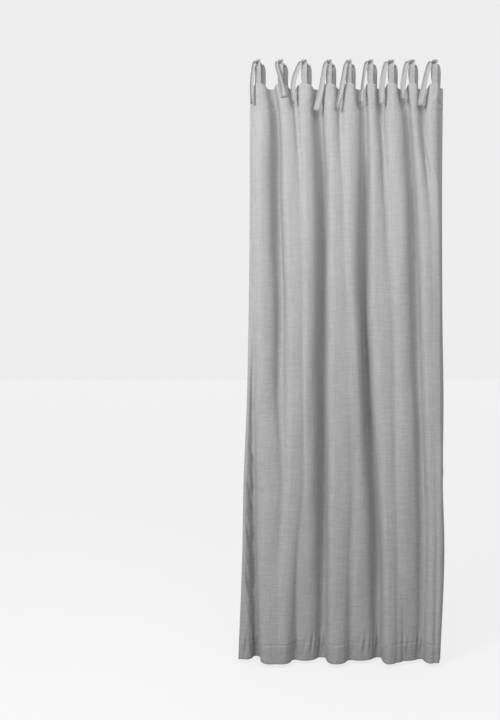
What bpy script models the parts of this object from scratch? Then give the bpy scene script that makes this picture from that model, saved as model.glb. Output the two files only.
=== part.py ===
"""Tie top curtain: one hung panel of linen-look cloth, held on a rod by nine pairs of sewn ties.

Metres, +Z up. The origin is on the rod's axis above the middle of the panel. +X runs along the rod to
the right, and the front of the cloth faces -Y. The rod itself isn't part of the curtain.
"""
import math
from functools import lru_cache

import bmesh
import bpy
from mathutils import Vector

NAME = "tie_top_curtain"

# Rod that the ties are knotted round
ROD_RADIUS = 0.0125
ROD_CLEARANCE = 0.0012

# Cloth, as it lies flat and as it hangs
CLOTH_WIDTH = 1.07
CLOTH_DROP = 2.13
CLOTH_THICKNESS = 0.0008
HUNG_WIDTH = 0.72
ROD_TO_EDGE = 0.059
EDGE_SAG = 0.012
SAG_REACH = 0.040
SAG_POWER = 1.4
SAG_ENDS = 0.150
SETBACK_AT_TOP = 0.008
SETBACK_ENDS = 0.25

# Hems and the facing behind the top edge
SIDE_HEM = 0.020
BOTTOM_HEM = 0.068
HEADER_DEPTH = 0.100
HEM_LAYER = 0.0012
SEAM_GAP = 0.0007

# Ties
TIE_WIDTH = 0.020
TIE_THICKNESS = 0.0010
TIE_SEWN_IN = 0.010
KNOT_LENGTH = 0.016
KNOT_STRAND_RADIUS = 0.0026
KNOT_SPREAD = 0.0050
KNOT_RISE = 0.0031
TAIL_CREASE = 0.001
BACK_TAIL_SHIFT = 0.020
BACK_TAIL_SETBACK = 0.020
BACK_TAIL_WIDTH = 0.017
BACK_TAIL_SHOULDER = 0.013
FRONT_TAIL_SHOULDER = 0.014

# How steep the walls of a full fold are where the cloth falls back and where it rises to the next crest,
# how much nearer to the trough each stands, and the steps between fold lines that trace the cloth
FALL_STEEPNESS, RISE_STEEPNESS = 0.55, 0.80
FALL_SHIFT, RISE_SHIFT = 0.14, 0.15
TRACE_STEPS = 16

# Mesh: columns from the leading hem to the first tie and from the edge of a tie to the next trough,
# and rows between the header and the hem
EDGE_COLUMNS = 4
WALL_COLUMNS = 3
BODY_ROWS = 10

# Heights at which the folds are given, as shares of the drop
LEVELS = (0.0, 0.06, 0.195, 0.365, 0.54, 0.68, 0.82, 1.0)

# Fold lines from the leading edge to the outer edge. Each has its place across the hung width at every
# level, then how far forward it lies: 1 on a full crest, -1 at the back of a full fold. The first and
# last are the edges, and each crest carries a tie at the top.
FOLDS = {
    "leading_edge": ((0.015, 0.010, 0.010, 0.005, -0.005, -0.022, -0.030, -0.050),
                     (-0.2, 0.0, 0.2, 0.4, 0.45, 0.4, 0.3, -0.5)),
    "hem_strip": ((0.022, 0.018, 0.018, 0.014, 0.004, -0.011, -0.017, -0.005),
                  (-0.1, 0.15, 0.3, 0.45, 0.55, 0.5, 0.4, -0.4)),
    "edge_fold": ((0.030, 0.030, 0.030, 0.030, 0.020, 0.020, 0.020, 0.040),
                  (0.4, 0.6, 0.7, 0.7, 0.25, -0.1, -0.6, -1.4)),
    "crest_1": ((0.050, 0.060, 0.065, 0.070, 0.080, 0.090, 0.095, 0.110), (1.0,) * 8),
    "fold_1": ((0.125, 0.150, 0.155, 0.170, 0.170, 0.185, 0.160, 0.145),
               (-0.8, -0.9, -0.7, -0.4, 0.2, 0.6, 0.85, 0.95)),
    "crest_2": ((0.165, 0.190, 0.200, 0.225, 0.225, 0.220, 0.195, 0.175), (1.0,) * 8),
    "fold_2": ((0.230, 0.250, 0.270, 0.280, 0.285, 0.290, 0.260, 0.245),
               (-0.6, 0.2, 0.8, 0.85, 0.8, 0.7, 0.5, -0.3)),
    "crest_3": ((0.285, 0.280, 0.295, 0.295, 0.290, 0.295, 0.295, 0.295),
                (1.0, 1.0, 1.0, 0.95, 0.9, 0.75, 0.5, 0.0)),
    "fold_3": ((0.360, 0.370, 0.395, 0.395, 0.395, 0.390, 0.395, 0.385),
               (-0.9, -0.9, -1.0, -1.0, -1.0, -1.0, -1.0, -1.0)),
    "crest_4": ((0.410, 0.420, 0.430, 0.435, 0.435, 0.440, 0.440, 0.450), (1.0,) * 8),
    "fold_4": ((0.475, 0.470, 0.485, 0.500, 0.525, 0.550, 0.540, 0.535),
               (-0.6, 0.3, 0.75, 0.85, 0.8, 0.6, 0.4, -0.2)),
    "crest_5": ((0.510, 0.510, 0.505, 0.525, 0.550, 0.565, 0.565, 0.580),
                (1.0, 1.0, 1.0, 0.9, 0.75, 0.65, 0.5, 0.0)),
    "fold_5": ((0.585, 0.605, 0.610, 0.605, 0.620, 0.650, 0.675, 0.685),
               (-0.9, -0.5, -0.8, -1.0, -1.0, -1.0, -1.0, -1.0)),
    "crest_6": ((0.620, 0.625, 0.640, 0.645, 0.685, 0.705, 0.710, 0.720), (1.0,) * 8),
    "fold_6": ((0.685, 0.680, 0.700, 0.735, 0.750, 0.755, 0.770, 0.775),
               (-0.6, -0.2, 0.5, 0.75, 0.8, 0.8, 0.75, 0.5)),
    "crest_7": ((0.725, 0.730, 0.765, 0.770, 0.785, 0.790, 0.795, 0.805),
                (1.0, 1.0, 1.0, 1.0, 1.0, 0.95, 0.85, 0.1)),
    "fold_7": ((0.800, 0.820, 0.840, 0.860, 0.880, 0.900, 0.910, 0.900),
               (-0.8, -0.6, -0.6, -0.5, -0.2, -0.1, -0.1, -0.5)),
    "crest_8": ((0.830, 0.840, 0.880, 0.905, 0.920, 0.935, 0.945, 0.940),
                (1.0, 1.0, 1.0, 0.95, 0.85, 0.8, 0.8, 0.8)),
    "fold_8": ((0.895, 0.885, 0.920, 0.940, 0.950, 0.960, 0.965, 0.960),
               (-0.7, -0.2, 0.6, 0.7, 0.7, 0.6, 0.6, 0.6)),
    "crest_9": ((0.945, 0.930, 0.950, 0.965, 0.970, 0.980, 0.985, 0.975),
                (1.0, 1.0, 0.9, 0.8, 0.8, 0.8, 0.8, 0.7)),
    "outer_edge": ((0.995, 0.995, 0.995, 1.000, 1.010, 1.010, 1.020, 1.000),
                   (-0.3, -0.4, -0.5, -0.5, -0.5, -0.5, -0.5, -0.4)),
}
LINES = list(FOLDS.values())
FIRST_CREST = list(FOLDS).index("crest_1")

# Front tail of each tie, from the leading edge: its shoulder, middle and end, each as the distance
# right of the tie, the height, and the width that shows there
FRONT_TAILS = (
    ((-0.015, 0.004, 0.012), (-0.023, -0.070, 0.012), (-0.023, -0.135, 0.006)),
    ((-0.015, 0.003, 0.012), (0.002, -0.060, 0.016), (0.013, -0.111, 0.019)),
    ((-0.019, 0.004, 0.014), (-0.040, -0.056, 0.018), (-0.041, -0.135, 0.008)),
    ((-0.016, 0.000, 0.015), (-0.030, -0.085, 0.019), (-0.049, -0.161, 0.020)),
    ((-0.014, 0.000, 0.014), (-0.026, -0.072, 0.017), (-0.047, -0.156, 0.007)),
    ((-0.020, 0.003, 0.012), (-0.030, -0.060, 0.010), (-0.035, -0.132, 0.016)),
    ((-0.024, 0.003, 0.015), (-0.035, -0.065, 0.020), (-0.040, -0.137, 0.014)),
    ((-0.024, 0.003, 0.015), (-0.034, -0.060, 0.020), (-0.038, -0.120, 0.015)),
    ((-0.024, 0.004, 0.015), (-0.039, -0.056, 0.018), (-0.056, -0.143, 0.020)),
)

# How each strip gathers from its full width round the rod into the knot: degrees up from the back of
# the rod, shift towards its own strand as a share of the knot's spread, share of its width, crease
FRONT_GATHERS = ((168, 0.0, 0.90, 0.0), (146, 0.0, 0.60, 0.001), (122, 0.6, 0.35, 0.002))
BACK_GATHERS = ((4, 0.0, 0.95, 0.0), (25, 0.0, 0.65, 0.001), (52, -0.6, 0.35, 0.002))

# Colours, as linear values
CLOTH_COLOUR = (0.42, 0.42, 0.43)
TIE_COLOUR = (0.45, 0.45, 0.46)

# Where each layer lies behind the panel's own cloth at the top seam
FRONT_TIE_BACK = CLOTH_THICKNESS / 2 + SEAM_GAP + TIE_THICKNESS / 2
BACK_TIE_BACK = FRONT_TIE_BACK + TIE_THICKNESS + SEAM_GAP
FACING_BACK = BACK_TIE_BACK + TIE_THICKNESS / 2 + SEAM_GAP + CLOTH_THICKNESS / 2
RETURN_LAYERS = 3
HEADER_ROWS = (0.0, TIE_SEWN_IN, HEADER_DEPTH / 2, HEADER_DEPTH)

# Path of a tie round the rod, and the height of the knot's middle on top of it
WRAP_RADIUS = ROD_RADIUS + ROD_CLEARANCE + TIE_THICKNESS / 2
KNOT_HEIGHT = ROD_RADIUS + ROD_CLEARANCE + KNOT_RISE + KNOT_STRAND_RADIUS
KNOT_STEPS = 6
TAIL_CLEARANCE = 0.0022


def level_value(values, share):
    """The value at this share of the drop, on a smooth curve through the values at LEVELS."""
    share = min(max(share, LEVELS[0]), LEVELS[-1])
    i = max(k for k in range(len(LEVELS) - 1) if LEVELS[k] <= share)

    def slope(k):
        low, high = max(k - 1, 0), min(k + 1, len(LEVELS) - 1)
        return (values[high] - values[low]) / (LEVELS[high] - LEVELS[low])

    span = LEVELS[i + 1] - LEVELS[i]
    t = (share - LEVELS[i]) / span
    return (
        (2 * t**3 - 3 * t**2 + 1) * values[i]
        + (t**3 - 2 * t**2 + t) * span * slope(i)
        + (3 * t**2 - 2 * t**3) * values[i + 1]
        + (t**3 - t**2) * span * slope(i + 1)
    )


def fold_points(lines, setback, half_depth):
    """Points along the cloth as seen from above: x, y and the unit normal towards the back."""
    points = []
    for k in range((len(lines) - 1) * TRACE_STEPS + 1):
        i = min(k // TRACE_STEPS, len(lines) - 2)
        u = k / TRACE_STEPS - i
        (x0, f0), (x1, f1) = lines[i], lines[i + 1]
        steepness = abs(f1 - f0) / 2 * (RISE_STEEPNESS if f1 > f0 else FALL_STEEPNESS)
        shift = -RISE_SHIFT if f1 > f0 else FALL_SHIFT
        turn = 2 * math.pi * u
        wall = steepness * math.sin(turn) / (2 * math.pi) + shift * math.sin(math.pi * u) ** 2
        x = x0 + (x1 - x0) * (u + wall)
        y = setback - half_depth * (f0 + (f1 - f0) * (1 - math.cos(math.pi * u)) / 2)
        dx = (x1 - x0) * (1 + steepness * math.cos(turn) + shift * math.pi * math.sin(turn))
        dy = -half_depth * (f1 - f0) * math.pi / 2 * math.sin(math.pi * u)
        size = math.hypot(dx, dy)
        points.append((x, y, -dy / size, dx / size))
    return points


def lengths_along(points):
    total = [0.0]
    for a, b in zip(points, points[1:]):
        total.append(total[-1] + math.hypot(b[0] - a[0], b[1] - a[1]))
    return total


class Section:
    """The folded cloth at one height. The folds are as deep as its full flat width needs."""

    def __init__(self, share):
        lines = [((level_value(across, share) - 0.5) * HUNG_WIDTH, level_value(forward, share))
                 for across, forward in LINES]
        self.setback = SETBACK_AT_TOP * max(0.0, 1 - share / SETBACK_ENDS)
        low, high = 0.0, CLOTH_WIDTH
        while high - low > 1e-6:
            middle = (low + high) / 2
            if lengths_along(fold_points(lines, self.setback, middle))[-1] > CLOTH_WIDTH:
                high = middle
            else:
                low = middle
        self.half_depth = low
        self.points = fold_points(lines, self.setback, low)
        self.lengths = lengths_along(self.points)
        self.line_lengths = self.lengths[::TRACE_STEPS]

    def at(self, length, layer=0.0):
        """x and y this far along the cloth from the leading edge, and this far behind it."""
        i = 0
        while i < len(self.points) - 2 and self.lengths[i + 1] < length:
            i += 1
        t = (length - self.lengths[i]) / (self.lengths[i + 1] - self.lengths[i])
        x, y, nx, ny = (a + (b - a) * t for a, b in zip(self.points[i], self.points[i + 1]))
        return x + nx * layer, y + ny * layer

    def front(self):
        return min(y for _, y, _, _ in self.points)


@lru_cache(maxsize=None)
def section(share):
    return Section(share)


def cloth_point(length, below_edge, layer):
    """A point of the cloth, from its distance along the width and below the top edge."""
    here = section(min(max(below_edge / CLOTH_DROP, 0.0), 1.0))
    x, y = here.at(length, layer)
    from_tie = min(abs(length - crest) for crest in here.line_lengths[FIRST_CREST::2])
    slack = 1 - min(max(from_tie - TIE_WIDTH / 2, 0.0) / SAG_REACH, 1.0)
    sag = EDGE_SAG * (1 - slack ** SAG_POWER) * max(0.0, 1 - below_edge / SAG_ENDS) ** 2
    return Vector((x, y, -ROD_TO_EDGE - below_edge - sag))


def column_lengths(here):
    """Distances along the cloth of the mesh's columns. Each crest has one at each edge of its tie."""
    lines = here.line_lengths
    end = lines[-1]
    half_tie = TIE_WIDTH / 2
    run = lines[FIRST_CREST] - half_tie - SIDE_HEM
    columns = [0.0, SIDE_HEM / 2] + [SIDE_HEM + run * k / EDGE_COLUMNS for k in range(EDGE_COLUMNS)]
    columns += [lines[FIRST_CREST] - half_tie, lines[FIRST_CREST]]
    for crest in range(FIRST_CREST, len(lines) - 2, 2):
        for start, trough in ((lines[crest] + half_tie, lines[crest + 1]),
                              (lines[crest + 2] - half_tie, lines[crest + 1])):
            wall = [start + (trough - start) * k / WALL_COLUMNS for k in range(WALL_COLUMNS + 1)]
            columns += wall if start < trough else wall[-2::-1]
        columns.append(lines[crest + 2])
    return columns + [lines[-2] + half_tie, end - SIDE_HEM, end - SIDE_HEM / 2, end]


def material(name, colour, roughness):
    made = bpy.data.materials.new(name)
    made.use_nodes = True
    shader = made.node_tree.nodes["Principled BSDF"]
    shader.inputs["Base Color"].default_value = (*colour, 1.0)
    shader.inputs["Roughness"].default_value = roughness
    shader.inputs["Metallic"].default_value = 0.0
    return made


def cloth_object(collection, name, grid, thickness, colour):
    """A sheet through the rows of points in grid, made as thick as the cloth."""
    columns, rows = len(grid[0]), len(grid)
    bm = bmesh.new()
    bmesh.ops.create_grid(bm, x_segments=columns - 1, y_segments=rows - 1, size=0.5)
    for vert in bm.verts:
        i = round((vert.co.x + 0.5) * (columns - 1))
        j = round((vert.co.y + 0.5) * (rows - 1))
        vert.co = grid[j][i]
    mesh = bpy.data.meshes.new(name)
    bm.to_mesh(mesh)
    bm.free()
    mesh.shade_smooth()
    mesh.materials.append(material(name, colour, 0.9))
    made = bpy.data.objects.new(name, mesh)
    collection.objects.link(made)
    solidify = made.modifiers.new("thickness", "SOLIDIFY")
    solidify.thickness = thickness
    solidify.offset = 0.0
    return made


def make_panel(collection):
    """The main cloth. Its sides are turned behind it, then its foot is turned up over them."""
    hem_rows = (CLOTH_DROP - BOTTOM_HEM, CLOTH_DROP - BOTTOM_HEM / 2, CLOTH_DROP)
    body = hem_rows[0] - HEADER_DEPTH
    body_rows = [HEADER_DEPTH + body * k / BODY_ROWS for k in range(1, BODY_ROWS)]
    turn = HEM_LAYER * RETURN_LAYERS / 2
    rows = [(depth, False) for depth in (*HEADER_ROWS, *body_rows, *hem_rows)]
    rows += [(CLOTH_DROP + turn, None)] + [(depth, True) for depth in reversed(hem_rows)]
    grid = []
    for depth, returned in rows:
        here = section(min(depth / CLOTH_DROP, 1.0))
        front = column_lengths(here)
        turned = [(front[k], HEM_LAYER) for k in (2, 1, 0)] + [(-HEM_LAYER / 2, HEM_LAYER / 2)]
        turned += [(length, 0.0) for length in front]
        turned += [(front[-1] + HEM_LAYER / 2, HEM_LAYER / 2)]
        turned += [(front[k], HEM_LAYER) for k in (-1, -2, -3)]
        full = HEM_LAYER * RETURN_LAYERS
        line = []
        for length, layer in turned:
            behind = {False: layer, None: full / 2, True: full - layer}[returned]
            line.append(cloth_point(length, depth, behind))
        grid.append(line)
    return cloth_object(collection, "panel", grid, CLOTH_THICKNESS, CLOTH_COLOUR)


def make_facing(collection):
    """The strip behind the top edge that closes the seam with the ties in it."""
    grid = []
    for depth in HEADER_ROWS:
        columns = column_lengths(section(depth / CLOTH_DROP))
        grid.append([cloth_point(length, depth, FACING_BACK) for length in columns])
    return cloth_object(collection, "header_facing", grid, CLOTH_THICKNESS, CLOTH_COLOUR)


def strip_grid(seam, path):
    """Rows of three points: the sewn rows, then one for each (centre, width, crease) of the path."""
    centres = [row[1] for row in seam] + [centre for centre, _, _ in path]
    grid = [list(row) for row in seam]
    for k, (centre, width, crease) in enumerate(path, len(seam)):
        ahead = centres[min(k + 1, len(centres) - 1)]
        along = (ahead - centres[k - 1]).normalized()
        normal = along.cross(Vector((1, 0, 0))).normalized()
        across = normal.cross(along)
        side = across * width / 2
        lift = normal * crease / 2
        grid.append([centre - side + lift, centre - lift, centre + side + lift])
    return grid[::-1]


def knot_path(x, start_angle, towards_back):
    """One strand's full turn round the other, on top of the rod."""
    width = math.sqrt(2) * KNOT_STRAND_RADIUS
    rows = []
    for k in range(KNOT_STEPS + 1):
        share = k / KNOT_STEPS
        angle = start_angle + 2 * math.pi * (share if towards_back else 1 - share)
        y = KNOT_LENGTH * (share - 0.5) * (1 if towards_back else -1)
        centre = Vector((x + KNOT_SPREAD * math.cos(angle), y, KNOT_HEIGHT + KNOT_RISE * math.sin(angle)))
        rows.append((centre, width, width))
    return rows


def wrap_point(x, degrees, raised=0.0):
    angle = math.radians(degrees)
    radius = WRAP_RADIUS + raised
    return Vector((x, radius * math.cos(angle), radius * math.sin(angle)))


def gathers(x, rows):
    return [(wrap_point(x + shift * KNOT_SPREAD, degrees, crease / 2), share * TIE_WIDTH, crease)
            for degrees, shift, share, crease in rows]


def seam_rows(line, layer):
    """The end of a strip between the panel and the facing."""
    rows = []
    for depth in (TIE_SEWN_IN, 0.0):
        middle = section(depth / CLOTH_DROP).line_lengths[line]
        across = (-TIE_WIDTH / 2, 0.0, TIE_WIDTH / 2)
        rows.append([cloth_point(middle + side, depth, layer) for side in across])
    return rows


def tangent_degrees(base, side):
    """Where the straight strap from the seam meets its wrap round the rod."""
    reach = math.hypot(base.y, base.z)
    lean = math.degrees(math.atan2(base.z, base.y))
    return lean + side * math.degrees(math.acos(WRAP_RADIUS / reach))


def front_strip_path(x, base, line, tail_end):
    """Up in front of the rod, back over it through the knot, and down behind it as the back tail."""
    tangent = wrap_point(x, tangent_degrees(base, -1))
    path = [((base + tangent) / 2, TIE_WIDTH, 0.0), (tangent, TIE_WIDTH, 0.0)]
    path += gathers(x, FRONT_GATHERS) + knot_path(x, 0.0, True)
    bend = Vector((x + (KNOT_SPREAD + BACK_TAIL_SHIFT) / 2, (BACK_TAIL_SETBACK + KNOT_LENGTH / 2) / 2,
                   BACK_TAIL_SHOULDER))
    path.append((bend, BACK_TAIL_WIDTH / 2, TAIL_CREASE))
    path.append((Vector((x + BACK_TAIL_SHIFT, BACK_TAIL_SETBACK, 0.0)), BACK_TAIL_WIDTH, TAIL_CREASE))
    for z in (tail_end / 2, tail_end):
        here = section(max(-z - ROD_TO_EDGE, 0.0) / CLOTH_DROP)
        crest = here.at(here.line_lengths[line])[0]
        hang = Vector((crest + BACK_TAIL_SHIFT, BACK_TAIL_SETBACK, z))
        path.append((hang, BACK_TAIL_WIDTH, TAIL_CREASE))
    return path


def back_strip_path(x, base, tail):
    """Up behind the rod, forward over it through the knot, and down in front as the front tail."""
    start = tangent_degrees(base, 1)
    path = [((base + wrap_point(x, start)) / 2, TIE_WIDTH, 0.0), (wrap_point(x, start), TIE_WIDTH, 0.0)]
    path += gathers(x, BACK_GATHERS) + knot_path(x, math.pi, False)
    shoulder, middle, end = tail
    front = -WRAP_RADIUS - TIE_THICKNESS - TAIL_CLEARANCE
    bend = Vector((x + shoulder[0] / 2, (front - KNOT_LENGTH / 2) / 2, FRONT_TAIL_SHOULDER))
    path.append((bend, shoulder[2] / 2, TAIL_CREASE))
    path.append((Vector((x + shoulder[0], front, shoulder[1])), shoulder[2], TAIL_CREASE))
    for dx, z, width in (middle, end):
        cloth = section(max(-z - ROD_TO_EDGE, 0.0) / CLOTH_DROP).front()
        y = min(front, cloth - CLOTH_THICKNESS / 2) - TAIL_CLEARANCE
        path.append((Vector((x + dx, y, z)), width, TAIL_CREASE))
    return path


def make_tie(collection, number, tail):
    top = section(0.0)
    line = FIRST_CREST + 2 * (number - 1)
    x = top.at(top.line_lengths[line])[0]
    front = seam_rows(line, FRONT_TIE_BACK)
    back = seam_rows(line, BACK_TIE_BACK)
    front_path = front_strip_path(x, front[-1][1], line, tail[-1][1])
    back_path = back_strip_path(x, back[-1][1], tail)
    for side, seam, path in (("front", front, front_path), ("back", back, back_path)):
        grid = strip_grid(seam, path)
        cloth_object(collection, f"tie_{number}_{side}_strip", grid, TIE_THICKNESS, TIE_COLOUR)


def main():
    for old in list(bpy.data.objects):
        bpy.data.objects.remove(old)
    collection = bpy.data.collections.new(NAME)
    bpy.context.scene.collection.children.link(collection)
    make_panel(collection)
    make_facing(collection)
    for number, tail in enumerate(FRONT_TAILS, 1):
        make_tie(collection, number, tail)


main()
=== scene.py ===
"""Looks of the tie top curtain: the hung cloth, its ties and stitching, their materials, and the studio.

Metres, +Z up, in the part's own frame: the origin is on the rod's axis above the middle of the panel,
+X runs to the right along the rod and the front of the cloth faces -Y.
"""
import math
from functools import lru_cache

import bpy
import numpy as np
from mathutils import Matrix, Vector


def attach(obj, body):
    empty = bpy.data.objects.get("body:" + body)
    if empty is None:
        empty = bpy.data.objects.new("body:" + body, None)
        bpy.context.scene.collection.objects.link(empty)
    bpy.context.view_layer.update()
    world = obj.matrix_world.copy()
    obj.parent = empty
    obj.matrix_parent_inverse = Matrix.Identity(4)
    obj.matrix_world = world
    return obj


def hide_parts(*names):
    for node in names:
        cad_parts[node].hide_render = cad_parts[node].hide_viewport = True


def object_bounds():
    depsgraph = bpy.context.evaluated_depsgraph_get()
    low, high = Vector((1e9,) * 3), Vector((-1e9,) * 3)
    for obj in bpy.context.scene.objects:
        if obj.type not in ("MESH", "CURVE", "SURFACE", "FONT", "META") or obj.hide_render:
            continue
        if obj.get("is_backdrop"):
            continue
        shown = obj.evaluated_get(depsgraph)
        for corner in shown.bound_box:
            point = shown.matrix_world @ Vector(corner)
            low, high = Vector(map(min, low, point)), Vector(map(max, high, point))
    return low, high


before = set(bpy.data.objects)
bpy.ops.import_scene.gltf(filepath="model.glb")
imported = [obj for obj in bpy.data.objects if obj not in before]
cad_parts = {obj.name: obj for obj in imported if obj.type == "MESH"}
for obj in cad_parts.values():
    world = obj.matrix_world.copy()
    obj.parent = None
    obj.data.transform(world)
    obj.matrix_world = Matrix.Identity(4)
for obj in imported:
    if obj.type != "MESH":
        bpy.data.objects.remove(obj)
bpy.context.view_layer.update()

# Rod that the ties are knotted round
ROD_RADIUS = 0.0125
ROD_CLEARANCE = 0.0012

# Cloth, as it lies flat and as it hangs
CLOTH_WIDTH = 1.07
CLOTH_DROP = 2.13
CLOTH_THICKNESS = 0.0008
HUNG_WIDTH = 0.72
ROD_TO_EDGE = 0.059
EDGE_SAG = 0.012
SAG_REACH = 0.040
SAG_POWER = 1.4
SAG_ENDS = 0.150
SETBACK_AT_TOP = 0.008
SETBACK_ENDS = 0.25

# Hems and the facing behind the top edge
SIDE_HEM = 0.020
BOTTOM_HEM = 0.068
HEADER_DEPTH = 0.100
HEM_LAYER = 0.0012
SEAM_GAP = 0.0007
RETURN_LAYERS = 3

# Ties
TIE_WIDTH = 0.020
TIE_THICKNESS = 0.0010
TIE_SEWN_IN = 0.010
KNOT_LENGTH = 0.016
KNOT_STRAND_RADIUS = 0.0026
KNOT_SPREAD = 0.0050
KNOT_RISE = 0.0031
KNOT_SHARE, KNOT_SQUEEZE = 0.42, 0.95
BACK_TAIL_SHIFT = 0.020
BACK_TAIL_SETBACK = 0.020
BACK_TAIL_WIDTH = 0.017
BACK_TAIL_SHOULDER = 0.013
FRONT_TAIL_SHOULDER = 0.014
TAIL_CLEARANCE = 0.0022

# How steep the walls of a full fold are where the cloth falls back and where it rises to the next crest,
# how much nearer to the trough each stands, and the steps between fold lines that trace the cloth
FALL_STEEPNESS, RISE_STEEPNESS = 0.55, 0.80
FALL_SHIFT, RISE_SHIFT = 0.14, 0.15
TRACE_STEPS = 40

# Each crest is flat across its tie at the top, and narrower there than below, most of all to the right
# of the middle: shares of the drop at which this ends, then how much
TIE_FLAT_ENDS, TIE_FLAT_LEAST = 0.05, 0.04
PINCH_ENDS = 0.05
PINCH_LEFT, PINCH_RIGHT, PINCH_RIGHT_FROM = 0.12, 0.28, 11

# Heights at which the folds are given, as shares of the drop
LEVELS = (0.0, 0.06, 0.195, 0.365, 0.54, 0.68, 0.82, 1.0)

# Fold lines from the leading edge to the outer edge. Each has its place across the hung width at every
# level, then how far forward it lies: 1 on a full crest, -1 at the back of a full fold. The first and
# last are the edges, and each crest carries a tie at the top.
FOLDS = {
    "leading_edge": ((0.015, 0.010, 0.010, 0.005, -0.005, -0.022, -0.030, -0.050),
                     (-0.2, 0.0, 0.2, 0.4, 0.45, 0.4, 0.3, -0.5)),
    "hem_strip": ((0.022, 0.018, 0.018, 0.014, 0.004, -0.011, -0.017, -0.005),
                  (-0.1, 0.15, 0.3, 0.45, 0.55, 0.5, 0.4, -0.4)),
    "edge_fold": ((0.030, 0.030, 0.030, 0.030, 0.020, 0.020, 0.020, 0.040),
                  (0.4, 0.6, 0.7, 0.7, 0.25, -0.1, -0.6, -1.4)),
    "crest_1": ((0.050, 0.060, 0.065, 0.070, 0.080, 0.090, 0.095, 0.110), (1.0,) * 8),
    "fold_1": ((0.125, 0.150, 0.155, 0.170, 0.170, 0.185, 0.160, 0.145),
               (-0.8, -0.9, -0.7, -0.4, 0.2, 0.6, 0.85, 0.95)),
    "crest_2": ((0.165, 0.190, 0.200, 0.225, 0.225, 0.220, 0.195, 0.175), (1.0,) * 8),
    "fold_2": ((0.230, 0.250, 0.270, 0.280, 0.285, 0.290, 0.260, 0.245),
               (-0.6, 0.2, 0.8, 0.85, 0.8, 0.7, 0.5, -0.3)),
    "crest_3": ((0.285, 0.280, 0.295, 0.295, 0.290, 0.295, 0.295, 0.295),
                (1.0, 1.0, 1.0, 0.95, 0.9, 0.75, 0.5, 0.0)),
    "fold_3": ((0.360, 0.367, 0.386, 0.384, 0.387, 0.388, 0.395, 0.385),
               (-0.9, -0.9, -1.0, -1.0, -1.0, -1.0, -1.0, -1.0)),
    "crest_4": ((0.410, 0.420, 0.430, 0.435, 0.435, 0.440, 0.440, 0.450), (1.0,) * 8),
    "fold_4": ((0.475, 0.470, 0.485, 0.500, 0.525, 0.550, 0.540, 0.535),
               (-0.6, 0.3, 0.75, 0.85, 0.8, 0.6, 0.4, -0.2)),
    "crest_5": ((0.510, 0.510, 0.505, 0.525, 0.550, 0.565, 0.565, 0.580),
                (1.0, 1.0, 1.0, 0.9, 0.75, 0.65, 0.5, 0.0)),
    "fold_5": ((0.585, 0.600, 0.602, 0.597, 0.612, 0.646, 0.675, 0.685),
               (-0.9, -0.5, -0.8, -1.0, -1.0, -1.0, -1.0, -1.0)),
    "crest_6": ((0.620, 0.625, 0.640, 0.645, 0.685, 0.705, 0.710, 0.720), (1.0,) * 8),
    "fold_6": ((0.685, 0.680, 0.700, 0.735, 0.750, 0.755, 0.770, 0.775),
               (-0.6, -0.2, 0.5, 0.75, 0.8, 0.8, 0.75, 0.5)),
    "crest_7": ((0.725, 0.730, 0.765, 0.770, 0.785, 0.790, 0.795, 0.805),
                (1.0, 1.0, 1.0, 1.0, 1.0, 0.95, 0.85, 0.1)),
    "fold_7": ((0.800, 0.820, 0.840, 0.860, 0.880, 0.900, 0.910, 0.900),
               (-0.8, -0.5, -0.45, -0.35, -0.1, -0.05, -0.1, -0.5)),
    "crest_8": ((0.830, 0.840, 0.880, 0.905, 0.920, 0.935, 0.945, 0.940),
                (1.0, 1.0, 1.0, 0.95, 0.85, 0.8, 0.8, 0.8)),
    "fold_8": ((0.895, 0.885, 0.920, 0.940, 0.950, 0.960, 0.965, 0.960),
               (-0.7, -0.2, 0.75, 0.85, 0.85, 0.75, 0.7, 0.6)),
    "crest_9": ((0.945, 0.930, 0.950, 0.965, 0.970, 0.980, 0.985, 0.975),
                (1.0, 1.0, 0.9, 0.8, 0.8, 0.8, 0.8, 0.7)),
    "outer_edge": ((0.995, 0.995, 0.995, 1.000, 1.010, 1.010, 1.020, 1.000),
                   (-0.3, -0.4, -0.5, -0.5, -0.5, -0.5, -0.5, -0.4)),
}
LINES = list(FOLDS.values())
FIRST_CREST = list(FOLDS).index("crest_1")

# Front tail of each tie, from the leading edge: its shoulder, middle and end, each as the distance
# right of the tie, the height, and the width that shows there
FRONT_TAILS = (
    ((-0.015, 0.004, 0.012), (-0.023, -0.070, 0.012), (-0.023, -0.135, 0.006)),
    ((-0.015, 0.003, 0.012), (0.002, -0.060, 0.011), (0.013, -0.111, 0.020)),
    ((-0.019, 0.004, 0.014), (-0.040, -0.056, 0.018), (-0.041, -0.135, 0.008)),
    ((-0.016, 0.000, 0.015), (-0.030, -0.085, 0.019), (-0.049, -0.161, 0.020)),
    ((-0.014, 0.000, 0.014), (-0.026, -0.072, 0.017), (-0.047, -0.156, 0.007)),
    ((-0.020, 0.003, 0.012), (-0.030, -0.060, 0.010), (-0.035, -0.132, 0.016)),
    ((-0.024, 0.003, 0.015), (-0.035, -0.065, 0.020), (-0.040, -0.137, 0.014)),
    ((-0.024, 0.003, 0.015), (-0.034, -0.060, 0.020), (-0.038, -0.120, 0.008)),
    ((-0.024, 0.004, 0.015), (-0.039, -0.056, 0.018), (-0.056, -0.143, 0.020)),
)

# How each strip gathers from its full width round the rod into the knot: degrees up from the back of
# the rod, shift towards its own strand as a share of the knot's spread, share of its width
FRONT_GATHERS = ((168, 0.0, 1.0), (146, 0.0, 0.90), (122, 0.5, 0.60))
BACK_GATHERS = ((4, 0.0, 1.0), (25, 0.0, 0.85), (52, -0.5, 0.50))

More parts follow.
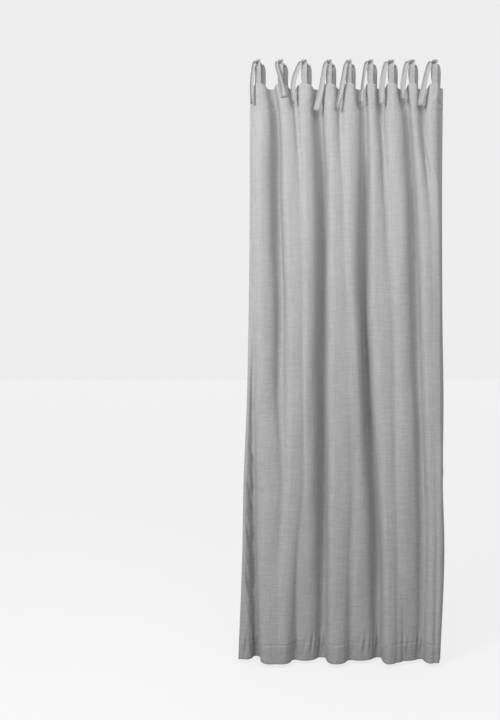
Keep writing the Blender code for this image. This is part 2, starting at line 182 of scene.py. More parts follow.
# How far a gathered strip is squeezed, the width and the squeeze of its bend behind the knot, how far
# from the seam it takes its own shape, and the waves of its crumples, shifted from tie to tie
GATHER_SQUEEZE = 0.3
BEND_SHARE, BEND_SQUEEZE = 0.4, 0.8
STRIP_BLEND = 0.015
RIBBON_CRUMPLES = ((0.039, 0.0005, 0.0), (0.023, 0.0004, 0.4))
RIBBON_CRUMPLE_SHIFT = 3.7

# Limits of a strip's curl: half the angle of the fullest, and how much of its width shows when flattest
FULLEST_CURL = 0.97 * math.pi
FLATTEST_SHARE = 0.9995

# How far forward the cloth lies where a crest gives way to a valley
VALLEY_STARTS = 0.7

# Relief of the cloth. Each wave is its length, its height and where it starts. The body hangs unevenly
# except near its top and foot.
BODY_ENDS = 0.2
BODY_ACROSS = ((0.171, 0.0007, 0.1), (0.093, 0.0004, 0.6))
BODY_DOWN = ((0.63, 0.0008, 0.3), (0.29, 0.0004, 0.8))
BODY_ACROSS_LEAN, BODY_DOWN_LEAN = 0.20, 0.9

# Puckers beside the side hems, strongest low on the leading side: how far they run down for each length
# that they run across, how strong they are at the outer hem, and where they lie
PUCKERS = ((0.083, 0.0036, 0.2), (0.053, 0.0018, 0.7), (0.161, 0.0026, 0.4))
PUCKER_SLANT = 3.2
PUCKER_OUTER = 0.35
PUCKER_LEAST = 0.15
PUCKER_MIDDLE, PUCKER_REACH = 0.78, 0.17
PUCKER_IN, PUCKER_WIDTH = 0.014, 0.018

# Gathers along the foot's hem, strongest in the valleys
FOOT_GATHERS = ((0.0213, 0.0031, 0.0), (0.0341, 0.0024, 0.3), (0.0157, 0.0013, 0.6))
FOOT_GATHER_LEAST = 0.15
FOOT_GATHER_BELOW, FOOT_GATHER_REACH = 0.006, 0.030

# Crumples between the ties, leaning either way and stronger towards the outer edge, and along the seam
# below them
CRUMPLES_ONE_WAY = ((0.052, 0.0009, 0.1), (0.031, 0.0010, 0.4), (0.0193, 0.0005, 0.7))
CRUMPLES_OTHER_WAY = ((0.067, 0.0009, 0.8), (0.027, 0.0008, 0.2), (0.0161, 0.0004, 0.5))
CRUMPLE_LEAN_ONE_WAY, CRUMPLE_LEAN_OTHER_WAY = 0.8, 1.3
CRUMPLE_LEADING, CRUMPLE_OUTWARDS = 0.4, 1.3
CRUMPLE_ON_CREST = 0.35
CRUMPLE_MIDDLE, CRUMPLE_REACH = 0.06, 0.05
HEADER_SEAM_WAVES = ((0.0171, 0.0004, 0.2), (0.0263, 0.0004, 0.9))
HEADER_SEAM_REACH = 0.015

# Grooves that the stitches press in
GROOVE_REACH = 0.004
SIDE_GROOVE, FOOT_GROOVE, HEADER_GROOVE = 0.0010, 0.0014, 0.0008

# The fold that runs down aslant from the last ties towards the outer edge
DIAGONAL_START, DIAGONAL_RUN, DIAGONAL_MIDDLE = 0.915, 0.27, 0.22
DIAGONAL_HEIGHT, DIAGONAL_WIDTH, DIAGONAL_REACH = 0.004, 0.009, 0.14

# Sewing
STITCH_PITCH = 0.0034
STITCH_LENGTH = 0.0027
THREAD_RADIUS = 0.00032
STITCH_INSET = 0.002
TOP_SEAM_DEPTH = 0.003
SIDE_SEAM_START, SIDE_SEAM_END = 0.006, 0.004

# Fineness of the meshes
COLUMN_STEP = 0.0043
HEADER_ROW_STEP = 0.006
SEAM_HALF = 0.010
SEAM_ROW_STEP = 0.003
BODY_ROW_STEP = 0.0155
HEM_ROW_STEP = 0.0085
TURN_STEPS = 3
STRIP_COLUMNS = 10
STRIP_ROWS_PER_SPAN = 6
KNOT_STEPS = 8

# Materials, with linear colours: the weave's threads are streaks to the metre along and across the
# width, with their detail and place
CLOTH_COLOUR = (0.43, 0.43, 0.432)
TIE_COLOUR = (0.42, 0.42, 0.422)
THREAD_COLOUR, THREAD_ROUGHNESS = (0.70, 0.70, 0.70), 0.7
LINEN_ROUGHNESS, LINEN_SHEEN, LINEN_SPECULAR = 0.92, 0.15, 0.2
WEFT_THREADS = ((16, 230, 2, 3.1), (45, 900, 1, 7.7))
WARP_THREADS = ((300, 6, 2, 5.3), (900, 20, 1, 1.9))
WEFT_SHARE_AT_TOP, WEFT_SHARE_DOWN, WARP_SHARE = 0.34, 0.14, 0.45
TONE_SPREAD, TONE_ENDS = 0.20, (0.20, 0.80)
# How much darker the foot hem is painted where the cloth lies doubled: painted shade for the light that
# two layers of the semi-sheer cloth let through less
HEM_PAINTED_SHADE = 0.10
WEAVE_STRENGTH, WEAVE_HEIGHT = 0.5, 0.0006

# Camera, as the photograph was taken
CAMERA_PLACE = (-0.3526, -3.0334, -0.9772)
CAMERA_PITCH_DOWN = 1.7
CAMERA_SENSOR_HEIGHT = 36.0
CAMERA_LENS = 41.1

# Studio: strengths are the light given and how pale the surface shows, and each lamp has its place, its
# target, its size and its power
FLOOR_BELOW_HEM = 0.016
FLOOR_SIZE = 40
FLOOR_COLOUR, FLOOR_ROUGHNESS = (0.18, 0.18, 0.18), 0.9
FLOOR_STRENGTHS = (0.0, 0.72)
WORLD_STRENGTHS = (0.57, 0.85)
WHITE = (1, 1, 1, 1)
LAMPS = {
    "key": ((-1.8, -2.1, 0.3), (0, 0, -0.9), 1.0, 59),
    "top": ((0.4, -1.9, 0.9), (0, 0, -0.5), 1.6, 20),
}

# Where each layer lies behind the panel's own cloth at the top seam
FRONT_TIE_BACK = CLOTH_THICKNESS / 2 + SEAM_GAP + TIE_THICKNESS / 2
BACK_TIE_BACK = FRONT_TIE_BACK + TIE_THICKNESS + SEAM_GAP
FACING_BACK = BACK_TIE_BACK + TIE_THICKNESS / 2 + SEAM_GAP + CLOTH_THICKNESS / 2

# Path of a tie round the rod, and the height of the knot's middle on top of it
WRAP_RADIUS = ROD_RADIUS + ROD_CLEARANCE + TIE_THICKNESS / 2
KNOT_HEIGHT = ROD_RADIUS + ROD_CLEARANCE + KNOT_RISE + KNOT_STRAND_RADIUS


def level_value(values, share):
    """The value at this share of the drop, on a smooth curve through the values at LEVELS."""
    share = min(max(share, LEVELS[0]), LEVELS[-1])
    i = max(k for k in range(len(LEVELS) - 1) if LEVELS[k] <= share)

    def slope(k):
        low, high = max(k - 1, 0), min(k + 1, len(LEVELS) - 1)
        return (values[high] - values[low]) / (LEVELS[high] - LEVELS[low])

    span = LEVELS[i + 1] - LEVELS[i]
    t = (share - LEVELS[i]) / span
    return (
        (2 * t**3 - 3 * t**2 + 1) * values[i]
        + (t**3 - 2 * t**2 + t) * span * slope(i)
        + (3 * t**2 - 2 * t**3) * values[i + 1]
        + (t**3 - t**2) * span * slope(i + 1)
    )


class Section:
    """The folded cloth at one height. The folds are as deep as its full flat width needs."""

    def __init__(self, share):
        flat = TIE_WIDTH / 2 * max(1 - share / TIE_FLAT_ENDS, TIE_FLAT_LEAST)
        pinched = max(0.0, 1 - share / PINCH_ENDS)
        places, forward, line_at, pinch = [], [], [], []
        for k, (across, ahead) in enumerate(LINES):
            x = (level_value(across, share) - 0.5) * HUNG_WIDTH
            has_tie = k >= FIRST_CREST and (k - FIRST_CREST) % 2 == 0
            spots = (x - flat, x + flat) if has_tie else (x,)
            line_at.append(len(places) + (len(spots) - 1) / 2)
            places += spots
            forward += [level_value(ahead, share)] * len(spots)
            pinch += [pinched * (PINCH_RIGHT if k > PINCH_RIGHT_FROM else PINCH_LEFT)] * len(spots)
        places, forward, pinch = np.array(places), np.array(forward), np.array(pinch)[1:, None]
        self.setback = SETBACK_AT_TOP * max(0.0, 1 - share / SETBACK_ENDS)
        u = np.arange(TRACE_STEPS) / TRACE_STEPS
        run, lean = np.diff(places)[:, None], np.diff(forward)[:, None]
        turn = 2 * np.pi * u
        steepness = np.where(lean > 0, RISE_STEEPNESS, FALL_STEEPNESS) * np.abs(lean) / 2
        shift = np.where(lean > 0, pinch - RISE_SHIFT, np.where(lean < 0, FALL_SHIFT - pinch, 0.0))
        wall = steepness * np.sin(turn) / (2 * np.pi) + shift * np.sin(np.pi * u) ** 2
        self.x = np.append((places[:-1, None] + run * (u + wall)), places[-1])
        self.forward = np.append(forward[:-1, None] + lean * (1 - np.cos(np.pi * u)) / 2, forward[-1])
        low, high = 0.0, CLOTH_WIDTH
        while high - low > 1e-6:
            middle = (low + high) / 2
            if self.lengths_with(middle)[-1] > CLOTH_WIDTH:
                high = middle
            else:
                low = middle
        self.half_depth = low
        self.lengths = self.lengths_with(low)
        self.line_lengths = np.interp(line_at, np.arange(len(places)), self.lengths[::TRACE_STEPS])
        self.y = self.setback - low * self.forward
        dx = np.append((run * (1 + steepness * np.cos(turn) + shift * np.pi * np.sin(turn))).ravel(),
                       run[-1] * (1 + steepness[-1]))
        dy = np.append((-low * lean * np.pi / 2 * np.sin(np.pi * u)).ravel(), 0.0)
        size = np.hypot(dx, dy)
        self.nx, self.ny = -dy / size, dx / size

    def lengths_with(self, half_depth):
        steps = np.hypot(np.diff(self.x), half_depth * np.diff(self.forward))
        return np.append(0.0, np.cumsum(steps))

    def at(self, length, layer=0.0):
        """x and y at these lengths along the cloth from the leading edge, and this far behind it."""
        x, y, nx, ny = (np.interp(length, self.lengths, v) for v in (self.x, self.y, self.nx, self.ny))
        return x + nx * layer, y + ny * layer

    def in_valley(self, length):
        """0 on a crest, 1 from half way to the back of a fold."""
        return np.clip(VALLEY_STARTS - np.interp(length, self.lengths, self.forward), 0.0, 1.0)


@lru_cache(maxsize=None)
def section(share):
    return Section(share)


def waves(along, *parts):
    """A sum of waves, each given as its length, its height and where it starts."""
    return sum(height * np.sin(2 * np.pi * (along / long + start)) for long, height, start in parts)


def near(value, middle, reach):
    return np.exp(-(((value - middle) / reach) ** 2))


def relief(length, below_edge, here):
    """How far the cloth lies behind its folded shape, where sewing draws it in and it hangs unevenly."""
    flat = np.clip(length, 0.0, CLOTH_WIDTH)
    hem_top = CLOTH_DROP - BOTTOM_HEM
    body = min(1.0, below_edge / BODY_ENDS) * min(1.0, max(0.0, (CLOTH_DROP - below_edge) / BODY_ENDS))
    out = body * waves(flat + BODY_ACROSS_LEAN * below_edge, *BODY_ACROSS)
    out += body * waves(below_edge + BODY_DOWN_LEAN * flat, *BODY_DOWN)
    low_down = near(below_edge / CLOTH_DROP, PUCKER_MIDDLE, PUCKER_REACH)
    strength = PUCKER_LEAST + (1 - PUCKER_LEAST) * low_down
    hems = ((flat, PUCKER_SLANT, 1.0), (CLOTH_WIDTH - flat, -PUCKER_SLANT, PUCKER_OUTER))
    for edge, slant, weight in hems:
        pucker = waves(below_edge - slant * edge, *PUCKERS)
        out += weight * strength * pucker * near(edge, SIDE_HEM + PUCKER_IN, PUCKER_WIDTH)
        out += SIDE_GROOVE * near(edge, SIDE_HEM, GROOVE_REACH)
    gathers = waves(flat, *FOOT_GATHERS)
    gathers *= FOOT_GATHER_LEAST + (1 - FOOT_GATHER_LEAST) * here.in_valley(length)
    out += gathers * near(below_edge, hem_top + FOOT_GATHER_BELOW, FOOT_GATHER_REACH)
    out += FOOT_GROOVE * near(below_edge, hem_top, GROOVE_REACH)
    slanting = near(flat, DIAGONAL_START + DIAGONAL_RUN * below_edge, DIAGONAL_WIDTH)
    out -= DIAGONAL_HEIGHT * slanting * near(below_edge, DIAGONAL_MIDDLE, DIAGONAL_REACH)
    crumple = waves(flat + CRUMPLE_LEAN_ONE_WAY * below_edge, *CRUMPLES_ONE_WAY)
    crumple += waves(flat - CRUMPLE_LEAN_OTHER_WAY * below_edge, *CRUMPLES_OTHER_WAY)
    crumple *= CRUMPLE_LEADING + CRUMPLE_OUTWARDS * flat / CLOTH_WIDTH
    crumple *= CRUMPLE_ON_CREST + (1 - CRUMPLE_ON_CREST) * here.in_valley(length)
    out += crumple * near(below_edge, CRUMPLE_MIDDLE, CRUMPLE_REACH)
    out += waves(flat, *HEADER_SEAM_WAVES) * near(below_edge, HEADER_DEPTH, HEADER_SEAM_REACH)
    return out + HEADER_GROOVE * near(below_edge, HEADER_DEPTH, GROOVE_REACH)


def cloth_points(length, below_edge, layer):
    """Points of the cloth at one distance below the top edge, from their distances along the width."""
    length = np.asarray(length, float)
    here = section(min(max(below_edge / CLOTH_DROP, 0.0), 1.0))
    x, y = here.at(length, layer + relief(length, below_edge, here))
    from_tie = np.abs(np.subtract.outer(length, here.line_lengths[FIRST_CREST::2])).min(axis=-1)
    slack = 1 - np.clip((from_tie - TIE_WIDTH / 2) / SAG_REACH, 0.0, 1.0)
    sag = EDGE_SAG * (1 - slack ** SAG_POWER) * max(0.0, 1 - below_edge / SAG_ENDS) ** 2
    return np.stack([x, y, -ROD_TO_EDGE - below_edge - sag], axis=-1)


def spread_evenly(start, end, step):
    return np.linspace(start, end, max(2, round((end - start) / step) + 1))


def sheet_mesh(name, grid, flat, thickness, material):
    """A sheet through rows of points, made as thick as the cloth, with flat places in metres as UVs."""
    rows, columns, _ = grid.shape
    corner = np.arange((rows - 1) * columns).reshape(rows - 1, columns)[:, :-1].ravel()
    faces = np.stack([corner, corner + columns, corner + columns + 1, corner + 1], axis=-1)
    mesh = bpy.data.meshes.new(name)
    mesh.from_pydata(grid.reshape(-1, 3).tolist(), [], faces.tolist())
    layer = mesh.uv_layers.new(name="flat")
    layer.uv.foreach_set("vector", flat.reshape(-1, 2)[faces.ravel()].astype(np.float32).ravel())
    mesh.shade_smooth()
    mesh.materials.append(material)
    made = bpy.data.objects.new(name, mesh)
    bpy.context.scene.collection.objects.link(made)
    solidify = made.modifiers.new("thickness", "SOLIDIFY")
    solidify.thickness = thickness
    solidify.offset = 0.0
    return made


def panel_piece(material):
    """The main cloth. Its sides are turned behind it, then its foot is turned up over them."""
    hem_top = CLOTH_DROP - BOTTOM_HEM
    header = spread_evenly(0, HEADER_DEPTH + SEAM_HALF, HEADER_ROW_STEP)
    body = spread_evenly(HEADER_DEPTH + SEAM_HALF, hem_top - SEAM_HALF, BODY_ROW_STEP)[1:-1]
    seam = spread_evenly(hem_top - SEAM_HALF, hem_top + SEAM_HALF, SEAM_ROW_STEP)
    body = np.concatenate([body, seam[seam <= hem_top]])
    hem = np.concatenate([seam[seam > hem_top],
                          spread_evenly(hem_top + SEAM_HALF, CLOTH_DROP, HEM_ROW_STEP)[1:]])
    full = HEM_LAYER * RETURN_LAYERS
    angles = np.linspace(0, np.pi, TURN_STEPS + 2)[1:-1]
    rows = [(depth, 1.0, 0.0) for depth in (*header, *body, *hem)]
    rows += [(CLOTH_DROP + full / 2 * math.sin(a), math.cos(a), full / 2 * (1 - math.cos(a)))
             for a in angles]
    rows += [(depth, -1.0, full) for depth in (*hem[::-1], hem_top)]

    edge = spread_evenly(0, SIDE_HEM, COLUMN_STEP)
    middle = spread_evenly(SIDE_HEM, CLOTH_WIDTH - SIDE_HEM, COLUMN_STEP)[1:-1]
    front = np.concatenate([edge, middle, CLOTH_WIDTH - edge[::-1]])
    turn_out = HEM_LAYER / 2 * np.sin(angles)
    turn_back = HEM_LAYER / 2 * (1 - np.cos(angles))
    lengths = np.concatenate([edge[::-1], -turn_out[::-1], front, CLOTH_WIDTH + turn_out,
                              CLOTH_WIDTH - edge])
    layers = np.concatenate([np.full(len(edge), HEM_LAYER), turn_back[::-1], np.zeros(len(front)),
                             turn_back, np.full(len(edge), HEM_LAYER)])
    flat_across = np.concatenate([-edge[::-1], np.zeros(len(angles)), front,
                                  np.full(len(angles), CLOTH_WIDTH), CLOTH_WIDTH + edge])
    grid, flat = [], []
    travelled = 0.0
    for k, (depth, facing, base) in enumerate(rows):
        travelled += abs(depth - rows[k - 1][0]) if k else 0.0
        grid.append(cloth_points(lengths, depth, base + facing * layers))
        flat.append(np.stack([flat_across, np.full(len(lengths), travelled)], axis=-1))
    return sheet_mesh("panel_cloth", np.array(grid), np.array(flat), CLOTH_THICKNESS, material)


def facing_piece(material):
    """The strip behind the top edge that closes the seam with the ties in it."""
    lengths = spread_evenly(0, CLOTH_WIDTH, COLUMN_STEP)
    depths = spread_evenly(0, HEADER_DEPTH, HEADER_ROW_STEP)
    grid = np.array([cloth_points(lengths, depth, FACING_BACK) for depth in depths])
    flat = np.stack(np.meshgrid(lengths, depths), axis=-1)
    return sheet_mesh("header_facing_cloth", grid, flat, CLOTH_THICKNESS, material)


def curl_for(share):
    """Half the angle through which a strip curls across so that only this share of its width shows."""
    low, high = 1e-4, FULLEST_CURL
    for _ in range(40):
        middle = (low + high) / 2
        if math.sin(middle) / middle > share:
            low = middle
        else:
            high = middle
    return low


def smooth_rows(rows, per_span):
    """Rows of numbers on a smooth curve through the given ones."""
    rows = np.array(rows, float)
    padded = np.vstack([2 * rows[0] - rows[1], rows, 2 * rows[-1] - rows[-2]])
    out = []
    for k in range(len(rows) - 1):
        p0, p1, p2, p3 = padded[k:k + 4]
        for t in np.arange(per_span) / per_span:
            out.append(0.5 * (2 * p1 + (p2 - p0) * t + (2 * p0 - 5 * p1 + 4 * p2 - p3) * t**2
                              + (3 * p1 - p0 - 3 * p2 + p3) * t**3))
    return np.array([*out, rows[-1]])


def wrap_row(x, degrees, share=1.0, squeeze=1.0):
    angle = math.radians(degrees)
    return (x, WRAP_RADIUS * math.cos(angle), WRAP_RADIUS * math.sin(angle), share, squeeze)


def knot_rows(x, start_angle, towards_back):
    """One strand's full turn round the other, on top of the rod."""
    rows = []
    for k in range(KNOT_STEPS + 1):
        share = k / KNOT_STEPS
        angle = start_angle + 2 * math.pi * (share if towards_back else 1 - share)
        y = KNOT_LENGTH * (share - 0.5) * (1 if towards_back else -1)
        rows.append((x + KNOT_SPREAD * math.cos(angle), y, KNOT_HEIGHT + KNOT_RISE * math.sin(angle),
                     KNOT_SHARE, KNOT_SQUEEZE))
    return rows


def tangent_degrees(base, side):
    """Where the straight strap from the seam meets its wrap round the rod."""
    reach = math.hypot(base[1], base[2])
    lean = math.degrees(math.atan2(base[2], base[1]))
    return lean + side * math.degrees(math.acos(WRAP_RADIUS / reach))


def strip_piece(name, length, layer, rows, curl_side, material):
    """A sewn strip of constant flat width: its sewn end, then the path, curled where it narrows."""
    across = np.linspace(-1, 1, STRIP_COLUMNS + 1)
    sewn = [cloth_points(length + across * TIE_WIDTH / 2, depth, layer)
            for depth in (TIE_SEWN_IN, TIE_SEWN_IN / 2)]
    base = cloth_points([length], 0.0, layer)[0]
    path = smooth_rows([(*base, 1.0, 1.0), *rows], STRIP_ROWS_PER_SPAN)
    centres = path[:, :3]
    ahead = np.vstack([centres[1:], 2 * centres[-1] - centres[-2]])
    behind = np.vstack([centres[0] - (0, 0, 0.001), centres[:-1]])
    rise = np.cumsum(np.linalg.norm(centres - behind, axis=1))
    free = []
    for k, (centre, after, before) in enumerate(zip(centres, ahead, behind)):
        along = after - before
        along /= np.linalg.norm(along)
        side = np.array([1.0, 0, 0]) - along[0] * along
        side /= np.linalg.norm(side)
        out = np.cross(side, along) * curl_side
        share, squeeze = path[k, 3], path[k, 4]
        half = curl_for(min(share / squeeze, FLATTEST_SHARE))
        radius = squeeze * TIE_WIDTH / 2 / half
        blend = min(rise[k] / STRIP_BLEND, 1.0)
        blend = blend * blend * (3 - 2 * blend)
        crumple = blend * waves(rise[k] + across * TIE_WIDTH / 3 + RIBBON_CRUMPLE_SHIFT * length,
                                *RIBBON_CRUMPLES)
        line = (centre + np.outer(radius * np.sin(across * half), side)
                + np.outer(radius * (1 - np.cos(across * half)) + crumple, out))
        at_seam = cloth_points(length + across * TIE_WIDTH / 2, 0.0, layer)
        seam_line = at_seam - base + centre
        free.append(seam_line * (1 - blend) + line * blend)
    grid = np.array([*sewn, *free])
    steps = np.linalg.norm(np.diff(grid.mean(axis=1), axis=0), axis=1)
    travelled = np.append(0.0, np.cumsum(steps))
    flat = np.stack(np.meshgrid(across * TIE_WIDTH / 2, travelled), axis=-1)
    return sheet_mesh(name, grid, flat, TIE_THICKNESS, material)


def tie_pieces(number, tail, material):
    top = section(0.0)
    line = FIRST_CREST + 2 * (number - 1)
    length = top.line_lengths[line]
    x = float(top.at(length)[0])
    shoulder, middle, end = tail

    base = cloth_points([length], 0.0, FRONT_TIE_BACK)[0]
    tangent = wrap_row(x, tangent_degrees(base, -1))
    rows = [(*((base + np.array(tangent[:3])) / 2), 1.0, 1.0), tangent]
    rows += [wrap_row(x + shift * KNOT_SPREAD, degrees, share, 1 - GATHER_SQUEEZE * (1 - share))
             for degrees, shift, share in FRONT_GATHERS]
    rows += knot_rows(x, 0.0, True)
    rows.append((x + (KNOT_SPREAD + BACK_TAIL_SHIFT) / 2, (BACK_TAIL_SETBACK + KNOT_LENGTH / 2) / 2,
                 BACK_TAIL_SHOULDER, BEND_SHARE, BEND_SQUEEZE))
    rows.append((x + BACK_TAIL_SHIFT, BACK_TAIL_SETBACK, 0.0, BACK_TAIL_WIDTH / TIE_WIDTH, 1.0))
    for z in (end[1] / 2, end[1]):
        here = section(max(-z - ROD_TO_EDGE, 0.0) / CLOTH_DROP)
        crest = float(here.at(here.line_lengths[line])[0])
        rows.append((crest + BACK_TAIL_SHIFT, BACK_TAIL_SETBACK, z, BACK_TAIL_WIDTH / TIE_WIDTH, 1.0))
    front = strip_piece(f"tie_{number}_front_ribbon", length, FRONT_TIE_BACK, rows, 1.0, material)

    base = cloth_points([length], 0.0, BACK_TIE_BACK)[0]
    tangent = wrap_row(x, tangent_degrees(base, 1))
    rows = [(*((base + np.array(tangent[:3])) / 2), 1.0, 1.0), tangent]
    rows += [wrap_row(x + shift * KNOT_SPREAD, degrees, share, 1 - GATHER_SQUEEZE * (1 - share))
             for degrees, shift, share in BACK_GATHERS]
    rows += knot_rows(x, math.pi, False)
    lie = -WRAP_RADIUS - TIE_THICKNESS - TAIL_CLEARANCE
    rows.append((x + shoulder[0] / 2, (lie - KNOT_LENGTH / 2) / 2, FRONT_TAIL_SHOULDER,
                 shoulder[2] / 2 / TIE_WIDTH, BEND_SQUEEZE))
    rows.append((x + shoulder[0], lie, shoulder[1], shoulder[2] / TIE_WIDTH, 1.0))
    for dx, z, width in (middle, end):
        cloth = section(max(-z - ROD_TO_EDGE, 0.0) / CLOTH_DROP).y.min()
        y = min(lie, cloth - CLOTH_THICKNESS / 2) - TAIL_CLEARANCE
        rows.append((x + dx, y, z, width / TIE_WIDTH, 1.0))
    back = strip_piece(f"tie_{number}_back_ribbon", length, BACK_TIE_BACK, rows, -1.0, material)
    return front, back


def stitches(name, seams, material):
    """Sewing thread: a short arched tube for each stitch, from the starts, middles and ends in seams."""
    start, middle, end = (np.concatenate(points) for points in zip(*seams))
    along = end - start
    along /= np.linalg.norm(along, axis=1)[:, None]
    out = middle - (start + end) / 2
    out /= np.linalg.norm(out, axis=1)[:, None]
    side = np.cross(along, out)
    corners = []
    rings = ((start, THREAD_RADIUS / 2), (middle, THREAD_RADIUS), (end, THREAD_RADIUS / 2))
    for centre, radius in rings:
        corners += [centre + radius * way for way in (out, side, -out, -side)]
    verts = np.stack(corners, axis=1).reshape(-1, 3)
    tube = [(r + k, r + (k + 1) % 4, r + 4 + (k + 1) % 4, r + 4 + k)
            for r in (0, 4) for k in range(4)]
    tube += [(3, 2, 1, 0), (8, 9, 10, 11)]
    faces = (np.array(tube)[None] + 12 * np.arange(len(start))[:, None, None]).reshape(-1, 4)
    mesh = bpy.data.meshes.new(name)
    mesh.from_pydata(verts.tolist(), [], faces.tolist())
    mesh.shade_smooth()
    mesh.materials.append(material)
    made = bpy.data.objects.new(name, mesh)
    bpy.context.scene.collection.objects.link(made)
    return made


def panel_stitching(material):
    """The seam at the top edge, the facing's lower seam, the foot's hem and both side hems."""
    face = -CLOTH_THICKNESS / 2
    begin = np.arange(STITCH_INSET, CLOTH_WIDTH - 2 * STITCH_INSET, STITCH_PITCH)
    seams = []
    for depth in (TOP_SEAM_DEPTH, HEADER_DEPTH - STITCH_INSET, CLOTH_DROP - BOTTOM_HEM + STITCH_INSET):
        seams.append((cloth_points(begin, depth, face),
                      cloth_points(begin + STITCH_LENGTH / 2, depth, face - THREAD_RADIUS),
                      cloth_points(begin + STITCH_LENGTH, depth, face)))
    depths = spread_evenly(SIDE_SEAM_START, CLOTH_DROP - SIDE_SEAM_END, BODY_ROW_STEP)
    begin = np.arange(SIDE_SEAM_START, CLOTH_DROP - 2 * SIDE_SEAM_END, STITCH_PITCH)
    for length in (SIDE_HEM - STITCH_INSET, CLOTH_WIDTH - SIDE_HEM + STITCH_INSET):
        low, high = (np.array([cloth_points([length], depth, layer)[0] for depth in depths])
                     for layer in (face, face - THREAD_RADIUS))
        seams.append([
            np.stack([np.interp(begin + ahead, depths, line[:, k]) for k in range(3)], axis=-1)
            for line, ahead in ((low, 0.0), (high, STITCH_LENGTH / 2), (low, STITCH_LENGTH))
        ])
    return stitches("panel_stitching", seams, material)


def new_material(name, colour, roughness):
    made = bpy.data.materials.new(name)
    made.use_nodes = True
    shader = made.node_tree.nodes["Principled BSDF"]
    shader.inputs["Base Color"].default_value = (*colour, 1.0)
    shader.inputs["Roughness"].default_value = roughness
    return made


def linen(name, colour):
    """A matt weave with slubs along both sets of threads, from the cloth's flat places, with painted
    shade on the doubled foot hem.
    """
    made = new_material(name, colour, LINEN_ROUGHNESS)
    nodes, links = made.node_tree.nodes, made.node_tree.links
    shader = nodes["Principled BSDF"]
    shader.inputs["Sheen Weight"].default_value = LINEN_SHEEN
    shader.inputs["Specular IOR Level"].default_value = LINEN_SPECULAR
    places = nodes.new("ShaderNodeUVMap")
    places.uv_map = "flat"

    def threads(along, across, detail, seed):
        """Streaks this many to the metre along and across the cloth's width."""
        scaled = nodes.new("ShaderNodeMapping")
        scaled.inputs["Scale"].default_value = (along, across, 1.0)
        scaled.inputs["Location"].default_value = (seed, seed / 2, seed)
        links.new(places.outputs["UV"], scaled.inputs["Vector"])
        noise = nodes.new("ShaderNodeTexNoise")
        noise.inputs["Scale"].default_value = 1.0
        noise.inputs["Detail"].default_value = detail
        links.new(scaled.outputs["Vector"], noise.inputs["Vector"])
        return noise.outputs["Fac"]

    def combine(operation, first, second):
        node = nodes.new("ShaderNodeMath")
        node.operation = operation
        for socket, value in zip(node.inputs, (first, second)):
            if isinstance(value, (int, float)):
                socket.default_value = value
            else:
                links.new(value, socket)
        return node.outputs["Value"]

    weft = combine("ADD", *(threads(*values) for values in WEFT_THREADS))
    warp = combine("ADD", *(threads(*values) for values in WARP_THREADS))
    height = nodes.new("ShaderNodeSeparateXYZ")
    links.new(places.outputs["UV"], height.inputs["Vector"])
    down = height.outputs["Y"]
    weft_share = combine("ADD", combine("MULTIPLY", down, WEFT_SHARE_DOWN), WEFT_SHARE_AT_TOP)
    both = combine("ADD", combine("MULTIPLY", combine("SUBTRACT", weft, 1.0), weft_share),
                   combine("MULTIPLY", combine("SUBTRACT", warp, 1.0), WARP_SHARE))
    ramp = nodes.new("ShaderNodeValToRGB")
    for end, at, tone in zip(ramp.color_ramp.elements, TONE_ENDS, (1 - TONE_SPREAD, 1 + TONE_SPREAD)):
        end.position = at
        end.color = (*(c * tone for c in colour), 1.0)
    links.new(combine("ADD", both, 0.5), ramp.inputs["Fac"])
    # The foot hem is painted darker: painted shade for the light that its doubled cloth lets through
    # less
    in_hem = combine("GREATER_THAN", down, CLOTH_DROP - BOTTOM_HEM)
    painted_hem_shade = combine("MULTIPLY", in_hem, HEM_PAINTED_SHADE)
    toned = nodes.new("ShaderNodeHueSaturation")
    links.new(combine("SUBTRACT", 1.0, painted_hem_shade), toned.inputs["Value"])
    links.new(ramp.outputs["Color"], toned.inputs["Color"])
    links.new(toned.outputs["Color"], shader.inputs["Base Color"])
    bump = nodes.new("ShaderNodeBump")
    bump.inputs["Strength"].default_value = WEAVE_STRENGTH
    bump.inputs["Distance"].default_value = WEAVE_HEIGHT
    links.new(both, bump.inputs["Height"])
    links.new(bump.outputs["Normal"], shader.inputs["Normal"])
    return made


def shown_only(tree, socket, lighting, seen):
    """One strength for the light that a surface gives, and another for how the surface itself shows."""
    path = tree.nodes.new("ShaderNodeLightPath")
    seen_by = tree.nodes.new("ShaderNodeMath")
    seen_by.operation = "ADD"
    tree.links.new(path.outputs["Is Camera Ray"], seen_by.inputs[0])
    tree.links.new(path.outputs["Is Glossy Ray"], seen_by.inputs[1])
    through = tree.nodes.new("ShaderNodeMath")
    through.operation = "ADD"
    tree.links.new(seen_by.outputs["Value"], through.inputs[0])
    tree.links.new(path.outputs["Is Transmission Ray"], through.inputs[1])
    strength = tree.nodes.new("ShaderNodeMapRange")
    strength.inputs["To Min"].default_value = lighting
    strength.inputs["To Max"].default_value = seen
    tree.links.new(through.outputs["Value"], strength.inputs["Value"])
    tree.links.new(strength.outputs["Result"], socket)


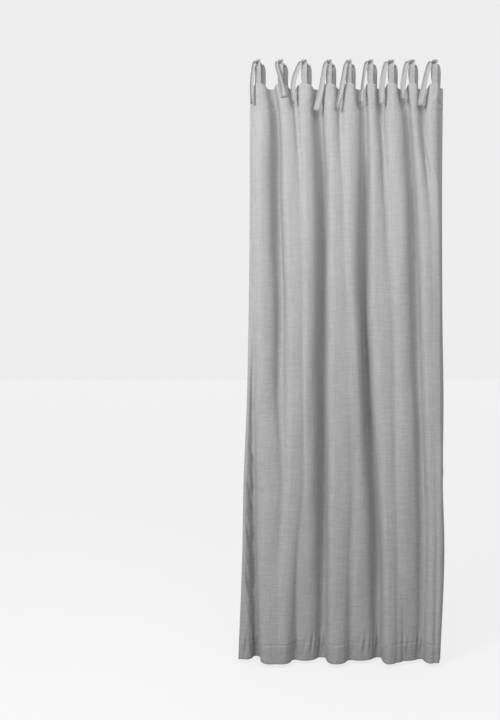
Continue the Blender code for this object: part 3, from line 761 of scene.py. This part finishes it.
def studio():
    """A pale floor under the hem, a pale surround and soft lamps."""
    floor_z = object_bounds()[0][2] - FLOOR_BELOW_HEM
    bpy.ops.mesh.primitive_plane_add(size=FLOOR_SIZE, location=(0, 0, floor_z))
    floor = bpy.context.object
    floor.name = "studio_floor"
    pale = new_material("floor_pale", FLOOR_COLOUR, FLOOR_ROUGHNESS)
    floor.data.materials.append(pale)
    shader = pale.node_tree.nodes["Principled BSDF"]
    shader.inputs["Emission Color"].default_value = WHITE
    shown_only(pale.node_tree, shader.inputs["Emission Strength"], *FLOOR_STRENGTHS)
    floor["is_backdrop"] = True

    world = bpy.data.worlds.new("studio")
    bpy.context.scene.world = world
    world.use_nodes = True
    background = world.node_tree.nodes["Background"]
    background.inputs["Color"].default_value = WHITE
    shown_only(world.node_tree, background.inputs["Strength"], *WORLD_STRENGTHS)

    for name, (place, target, size, power) in LAMPS.items():
        data = bpy.data.lights.new(name, "AREA")
        data.shape = "DISK"
        data.size = size
        data.energy = power
        lamp = bpy.data.objects.new(name, data)
        bpy.context.scene.collection.objects.link(lamp)
        lamp.location = place
        lamp.rotation_euler = (Vector(target) - Vector(place)).to_track_quat("-Z", "Y").to_euler()


def camera():
    data = bpy.data.cameras.new("photo_view")
    data.sensor_fit = "VERTICAL"
    data.sensor_height = CAMERA_SENSOR_HEIGHT
    data.lens = CAMERA_LENS
    made = bpy.data.objects.new("photo_view", data)
    bpy.context.scene.collection.objects.link(made)
    made.location = CAMERA_PLACE
    made.rotation_euler = (math.radians(90 - CAMERA_PITCH_DOWN), 0, 0)
    bpy.context.scene.camera = made


def main():
    bpy.context.scene.view_settings.view_transform = "Standard"
    camera()
    cloth = linen("cloth_linen", CLOTH_COLOUR)
    ribbon = linen("tie_linen", TIE_COLOUR)
    panel = panel_piece(cloth)
    facing = facing_piece(cloth)
    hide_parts("panel")
    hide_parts("header_facing")
    ties = []
    for number, tail in enumerate(FRONT_TAILS, 1):
        front, back = tie_pieces(number, tail, ribbon)
        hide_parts(f"tie_{number}_front_strip")
        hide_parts(f"tie_{number}_back_strip")
        ties += [front, back]
    sewing = panel_stitching(new_material("thread", THREAD_COLOUR, THREAD_ROUGHNESS))
    for piece in (panel, facing, *ties, sewing):
        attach(piece, "root")
    studio()


main()
